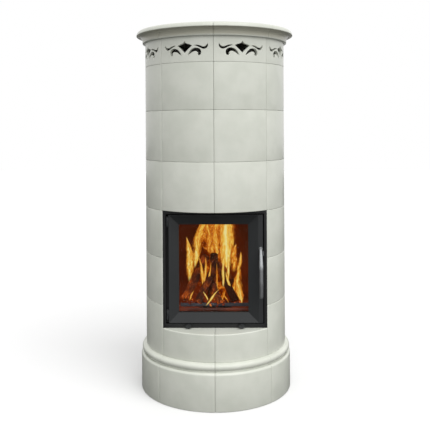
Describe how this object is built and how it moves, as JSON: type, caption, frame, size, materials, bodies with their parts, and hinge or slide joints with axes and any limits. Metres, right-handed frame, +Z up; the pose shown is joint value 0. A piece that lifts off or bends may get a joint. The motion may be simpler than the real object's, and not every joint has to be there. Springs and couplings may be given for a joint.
{
  "type": "round tiled stove",
  "caption": "Round wood-burning stove wrapped in glazed tiles, with a glazed swinging door, a pierced warm-air frieze and a rear flue outlet.",
  "frame": {"origin": "on the floor on the axis of the tile rings", "axes": "+Z up the stove; -Y towards the front, out of the door; +X to the right seen from the front"},
  "size_m": [0.744, 0.744, 1.6675],
  "materials": {
    "glazed_tile": "pale grey-green glossy glaze",
    "black_steel": "satin black stove paint",
    "bright_steel": "brushed stainless steel",
    "cast_iron": "raw cast iron, heat-darkened",
    "fire_brick": "matt fired clay, sooted",
    "storage_stone": "cast refractory concrete",
    "stove_glass": "clear heat-proof ceramic glass",
    "rope_seal": "woven glass-fibre rope"
  },
  "bodies": {
    "root": {"plinth_front_left": "glazed_tile", "plinth_front_right": "glazed_tile", "plinth_left": "glazed_tile", "plinth_right": "glazed_tile", "course_1_front_left": "glazed_tile", "course_1_front_right": "glazed_tile", "course_1_left": "glazed_tile", "course_1_right": "glazed_tile", "course_4_front_left": "glazed_tile", "course_4_front_right": "glazed_tile", "course_4_left": "glazed_tile", "course_4_right": "glazed_tile", "course_5_front_left": "glazed_tile", "course_5_front_right": "glazed_tile", "course_5_left": "glazed_tile", "course_5_right": "glazed_tile", "course_6_front_left": "glazed_tile", "course_6_front_right": "glazed_tile", "course_6_left": "glazed_tile", "course_6_right": "glazed_tile", "frieze_front_left": "glazed_tile", "frieze_front_right": "glazed_tile", "frieze_left": "glazed_tile", "frieze_right": "glazed_tile", "cornice_front_left": "glazed_tile", "cornice_front_right": "glazed_tile", "cornice_left": "glazed_tile", "cornice_right": "glazed_tile", "course_2_left": "glazed_tile", "course_2_right": "glazed_tile", "course_3_left": "glazed_tile", "course_3_right": "glazed_tile", "insert_frame": "black_steel", "firebox_shell": "black_steel", "ash_pan": "black_steel", "flue_outlet": "black_steel", "base_stand": "black_steel", "top_cover": "black_steel", "latch_keeper": "bright_steel", "lower_hinge_pin": "bright_steel", "upper_hinge_pin": "bright_steel", "hearth_brick": "fire_brick", "left_brick": "fire_brick", "right_brick": "fire_brick", "back_brick": "fire_brick", "baffle_brick": "fire_brick", "storage_stone_lower": "storage_stone", "storage_stone_upper": "storage_stone"},
    "door": {"door_leaf": "black_steel", "door_glass": "stove_glass", "glass_retainer": "black_steel", "door_gasket": "rope_seal"},
    "handle": {"door_handle": "bright_steel", "latch_tongue": "bright_steel"},
    "air_control_left": {"air_knob_left": "black_steel", "air_slide_left": "bright_steel"},
    "air_control_right": {"air_knob_right": "black_steel", "air_slide_right": "bright_steel"},
    "fire_grate": {"grate": "cast_iron"},
    "guard": {"log_guard": "cast_iron"}
  },
  "joints": [
    {"name": "door_swing", "type": "hinge", "parent": "root", "child": "door", "pos_m": [-0.21194, -0.22704, 0.58], "axis": [0, 0, -1], "range_deg": [0, 100]},
    {"name": "handle_turn", "type": "hinge", "parent": "door", "child": "handle", "pos_m": [0.20384, -0.2205, 0.6763], "axis": [0, 1, 0], "range_deg": [-15, 35]},
    {"name": "air_left_pull", "type": "slide", "parent": "root", "child": "air_control_left", "axis": [0, -1, 0], "range_m": [0, 0.03]},
    {"name": "air_right_pull", "type": "slide", "parent": "root", "child": "air_control_right", "axis": [0, -1, 0], "range_m": [0, 0.03]},
    {"name": "grate_lift", "type": "slide", "parent": "root", "child": "fire_grate", "axis": [0, 0, 1], "range_m": [0, 0.03]},
    {"name": "guard_lift", "type": "slide", "parent": "root", "child": "guard", "axis": [0, 0, 1], "range_m": [0, 0.06]}
  ]
}
